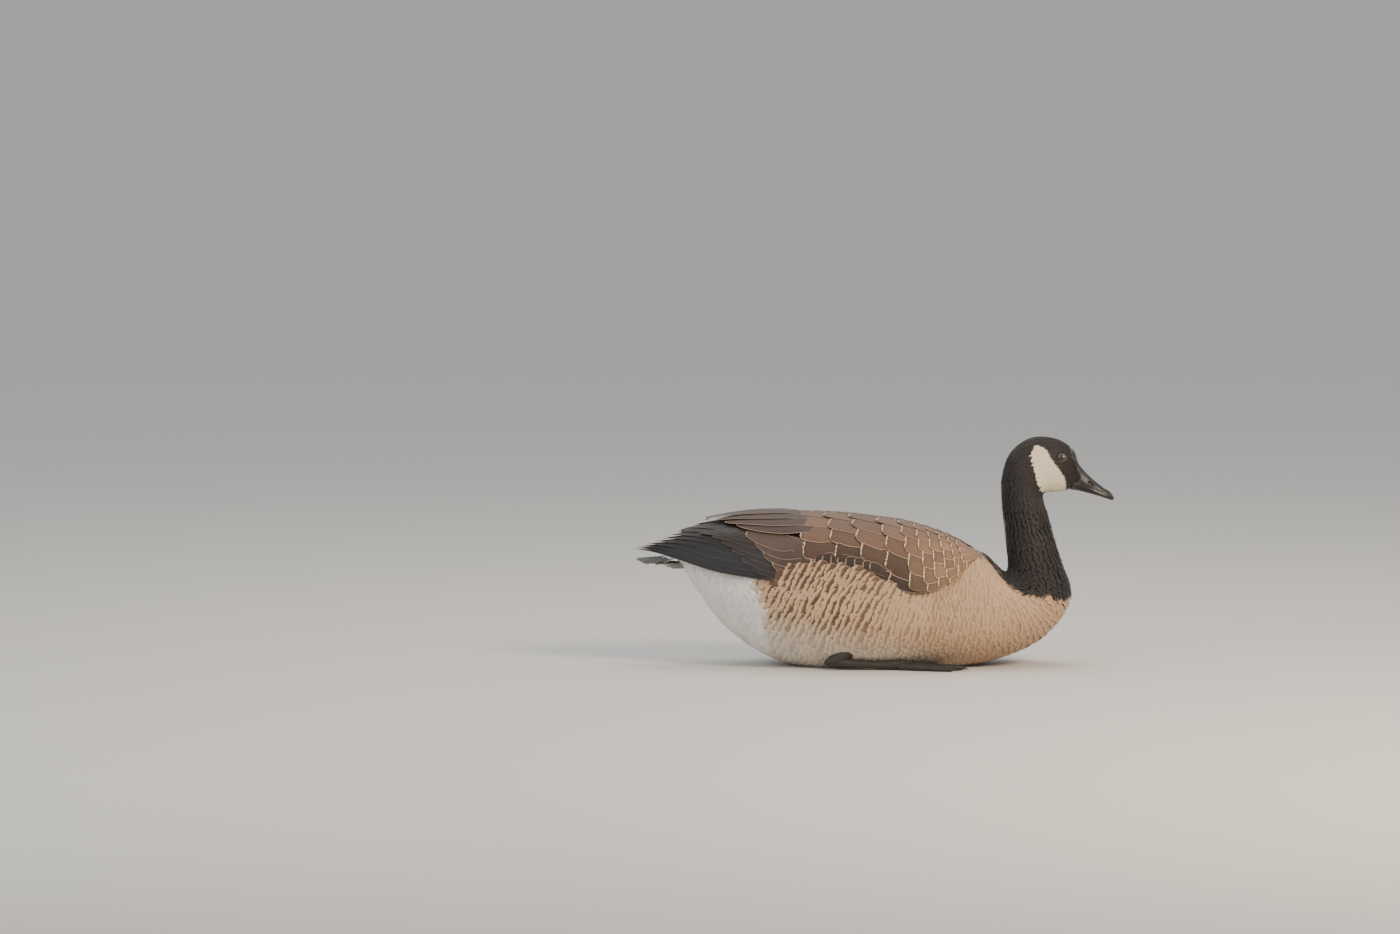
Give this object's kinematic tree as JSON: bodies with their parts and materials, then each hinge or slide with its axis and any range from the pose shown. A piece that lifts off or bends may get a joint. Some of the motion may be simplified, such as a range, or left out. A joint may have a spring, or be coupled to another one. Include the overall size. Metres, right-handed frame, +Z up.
{
  "type": "canada goose",
  "caption": "Life-size Canada goose resting on its belly with its neck up, wings folded and feet tucked under, as a still museum model.",
  "frame": {"origin": "middle of the flat of the belly, on the plane that the bird rests on", "axes": "+X towards the bill, +Y to the bird's left, +Z up"},
  "size_m": [0.5532, 0.195, 0.2633],
  "materials": {
    "pale_feather": "soft small feathers, buff with grey-brown bars, white under the tail",
    "black_feather": "short dense brown-black feathers with a white patch on cheek and chin",
    "brown_feather": "flat vanes, mid brown with pale buff edges, the long tips near black",
    "tail_feather": "stiff black vanes",
    "bill_horn": "black horn with a soft gloss",
    "eye": "wet dark brown eye",
    "leg_skin": "dark grey scaly skin",
    "claw_horn": "black horn"
  },
  "bodies": {
    "root": {"torso": "pale_feather", "neck": "black_feather", "head": "black_feather", "bill_upper": "bill_horn", "bill_lower": "bill_horn", "tail": "tail_feather", "eye_left": "eye", "wing_left": "brown_feather", "leg_left": "leg_skin", "foot_left": "leg_skin", "claw_inner_left": "claw_horn", "claw_middle_left": "claw_horn", "claw_outer_left": "claw_horn", "claw_hind_left": "claw_horn", "eye_right": "eye", "wing_right": "brown_feather", "leg_right": "leg_skin", "foot_right": "leg_skin", "claw_inner_right": "claw_horn", "claw_middle_right": "claw_horn", "claw_outer_right": "claw_horn", "claw_hind_right": "claw_horn"}
  },
  "joints": []
}
